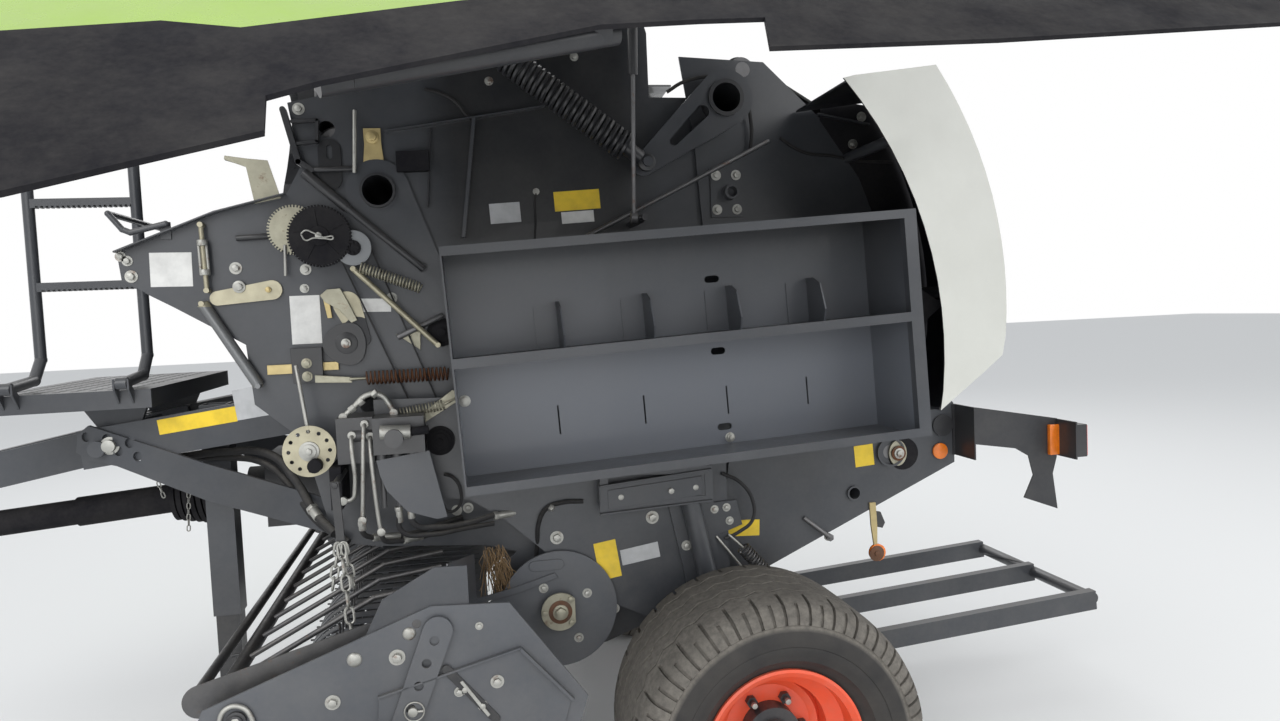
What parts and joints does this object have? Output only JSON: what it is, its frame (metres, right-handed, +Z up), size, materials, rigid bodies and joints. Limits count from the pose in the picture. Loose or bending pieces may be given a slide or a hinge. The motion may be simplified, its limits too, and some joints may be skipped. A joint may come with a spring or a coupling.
{
  "type": "round baler",
  "caption": "Towed round baler with variable belt chamber, hinged tailgate, lifting side hoods, raised pickup, drawbar with towing eye and parking jack.",
  "frame": {"origin": "centre of the towing eye", "axes": "+X from the towing eye to the rear of the machine, +Z up, +Y to the right side"},
  "size_m": [4.8279, 3.8817, 2.9658],
  "materials": {
    "frame_paint": "satin anthracite paint with dust",
    "dark_steel": "satin near-black paint",
    "rim_red": "satin orange-red paint",
    "tyre": "matte dusty rubber",
    "rubber": "matte rubber",
    "plain_steel": "dull bare steel",
    "chrome_rod": "polished",
    "cover_white": "satin off-white moulding",
    "hood_green": "glossy lime green moulding",
    "black_plastic": "matte black plastic",
    "zinc_plate": "yellowish zinc plating"
  },
  "bodies": {
    "base": {"chassis_frame": "frame_paint", "axle_beam": "frame_paint", "drawbar": "frame_paint", "hitch_head": "frame_paint", "jack_tube": "frame_paint", "platform": "frame_paint", "gearbox": "dark_steel", "drive_shaft": "black_plastic", "chamber_wall_left": "dark_steel", "chamber_wall_right": "dark_steel", "chamber_crossmembers": "dark_steel", "wrap_frame": "frame_paint", "wrap_drive": "zinc_plate", "tension_arms": "frame_paint", "tension_spring": "dark_steel", "storage_box": "frame_paint", "valve_block": "dark_steel", "front_rollers": "plain_steel", "front_belts": "rubber"},
    "jack": {"jack_leg": "frame_paint"},
    "ladder": {"ladder": "plain_steel"},
    "rotor": {"feed_rotor": "plain_steel"},
    "wheel_left": {"wheel_hub_left": "dark_steel", "wheel_rim_left": "rim_red", "tyre_left": "tyre"},
    "wheel_right": {"wheel_hub_right": "dark_steel", "wheel_rim_right": "rim_red", "tyre_right": "tyre"},
    "tailgate": {"tailgate_frame": "frame_paint", "tailgate_rollers": "plain_steel", "tailgate_belts": "rubber", "tailgate_cover_left": "cover_white", "tailgate_cover_right": "cover_white", "lamp_brackets": "dark_steel"},
    "pickup": {"pickup_frame": "frame_paint"},
    "reel": {"pickup_reel": "dark_steel"},
    "guard": {"wind_guard": "plain_steel"},
    "gauge_left": {"gauge_wheel_left": "rubber"},
    "gauge_right": {"gauge_wheel_right": "rubber"},
    "ramp": {"bale_ramp": "frame_paint"},
    "cyl_barrel_left": {"cylinder_barrel_left": "frame_paint"},
    "cyl_rod_left": {"cylinder_rod_left": "chrome_rod"},
    "hood_left": {"hood_left": "hood_green", "skirt_left": "black_plastic", "hood_frame_left": "dark_steel"},
    "strut_barrel_left": {"strut_barrel_left": "dark_steel"},
    "strut_rod_left": {"strut_rod_left": "chrome_rod"},
    "cyl_barrel_right": {"cylinder_barrel_right": "frame_paint"},
    "cyl_rod_right": {"cylinder_rod_right": "chrome_rod"},
    "hood_right": {"hood_right": "hood_green", "skirt_right": "black_plastic", "hood_frame_right": "dark_steel"},
    "strut_barrel_right": {"strut_barrel_right": "dark_steel"},
    "strut_rod_right": {"strut_rod_right": "chrome_rod"}
  },
  "joints": [
    {"name": "wheel_spin_left", "type": "hinge", "parent": "base", "child": "wheel_left", "pos_m": [3.12, -1.055, -0.657], "axis": [0, 1, 0], "continuous": true},
    {"name": "wheel_spin_right", "type": "hinge", "parent": "base", "child": "wheel_right", "pos_m": [3.12, 1.055, -0.657], "axis": [0, 1, 0], "continuous": true},
    {"name": "rotor_spin", "type": "hinge", "parent": "base", "child": "rotor", "pos_m": [2.555, 0, -0.366], "axis": [0, 1, 0], "continuous": true},
    {"name": "jack_slide", "type": "slide", "parent": "base", "child": "jack", "axis": [0, 0, 1], "range_m": [0, 0.5]},
    {"name": "ladder_fold", "type": "hinge", "parent": "base", "child": "ladder", "pos_m": [1.07, -0.502, 0.432], "axis": [1, 0, 0], "range_deg": [0, 180]},
    {"name": "tailgate_swing", "type": "hinge", "parent": "base", "child": "tailgate", "pos_m": [3.18, 0, 1.275], "axis": [0, -1, 0], "range_deg": [0, 60]},
    {"name": "cyl_pivot_left", "type": "hinge", "parent": "base", "child": "cyl_barrel_left", "pos_m": [2.82, -0.735, 0.172], "axis": [0, -1, 0], "range_deg": [0, 11.64]},
    {"name": "cyl_slide_left", "type": "slide", "parent": "cyl_barrel_left", "child": "cyl_rod_left", "axis": [0.8368, 0, 0.5475], "range_m": [0, 0.6939]},
    {"name": "cyl_pivot_right", "type": "hinge", "parent": "base", "child": "cyl_barrel_right", "pos_m": [2.82, 0.735, 0.172], "axis": [0, -1, 0], "range_deg": [0, 11.64]},
    {"name": "cyl_slide_right", "type": "slide", "parent": "cyl_barrel_right", "child": "cyl_rod_right", "axis": [0.8368, 0, 0.5475], "range_m": [0, 0.6939]},
    {"name": "hood_lift_left", "type": "hinge", "parent": "base", "child": "hood_left", "pos_m": [2.42, -0.6, 1.6], "axis": [1, 0, 0], "range_deg": [0, 50]},
    {"name": "strut_pivot_left", "type": "hinge", "parent": "hood_left", "child": "strut_barrel_left", "pos_m": [2.83, -1.00883, 1.71385], "axis": [1, 0, 0], "range_deg": [-49.24, 0]},
    {"name": "strut_slide_left", "type": "slide", "parent": "strut_barrel_left", "child": "strut_rod_left", "axis": [0, 0.1867, -0.9824], "range_m": [-0.359, 0]},
    {"name": "hood_lift_right", "type": "hinge", "parent": "base", "child": "hood_right", "pos_m": [2.42, 0.6, 1.6], "axis": [1, 0, 0], "range_deg": [0, 50]},
    {"name": "strut_pivot_right", "type": "hinge", "parent": "hood_right", "child": "strut_barrel_right", "pos_m": [2.83, 0.95, 1.36], "axis": [1, 0, 0], "range_deg": [-49.24, 0]},
    {"name": "strut_slide_right", "type": "slide", "parent": "strut_barrel_right", "child": "strut_rod_right", "axis": [0, -0.2031, -0.9791], "range_m": [0, 0.359]},
    {"name": "pickup_lift", "type": "hinge", "parent": "base", "child": "pickup", "pos_m": [2.555, 0, -0.366], "axis": [0, -1, 0], "range_deg": [0, 28]},
    {"name": "reel_spin", "type": "hinge", "parent": "pickup", "child": "reel", "pos_m": [1.93, 0, -0.53], "axis": [0, 1, 0], "continuous": true},
    {"name": "guard_tilt", "type": "hinge", "parent": "pickup", "child": "guard", "pos_m": [2.13, 0, -0.228], "axis": [0, 1, 0], "range_deg": [0, 10]},
    {"name": "gauge_spin_left", "type": "hinge", "parent": "pickup", "child": "gauge_left", "pos_m": [2.01, -1.208, -0.69], "axis": [0, 1, 0], "continuous": true},
    {"name": "gauge_spin_right", "type": "hinge", "parent": "pickup", "child": "gauge_right", "pos_m": [2.01, 1.208, -0.69], "axis": [0, 1, 0], "continuous": true},
    {"name": "ramp_drop", "type": "hinge", "parent": "base", "child": "ramp", "pos_m": [3.27, 0, -0.76], "axis": [0, 1, 0], "range_deg": [0, 14], "stiffness_Nm_per_rad": 1800, "springref_deg": -17.19}
  ],
  "couplings": [
    {"joint": "cyl_pivot_left", "follows": "tailgate_swing", "ratio": 0.19071},
    {"joint": "cyl_slide_left", "follows": "tailgate_swing", "m_per_rad": 0.66211},
    {"joint": "cyl_pivot_right", "follows": "tailgate_swing", "ratio": 0.19071},
    {"joint": "cyl_slide_right", "follows": "tailgate_swing", "m_per_rad": 0.66211},
    {"joint": "strut_pivot_left", "follows": "hood_lift_left", "ratio": -0.98076},
    {"joint": "strut_slide_left", "follows": "hood_lift_left", "m_per_rad": -0.41085},
    {"joint": "strut_pivot_right", "follows": "hood_lift_right", "ratio": -0.98076},
    {"joint": "strut_slide_right", "follows": "hood_lift_right", "m_per_rad": 0.41085}
  ]
}
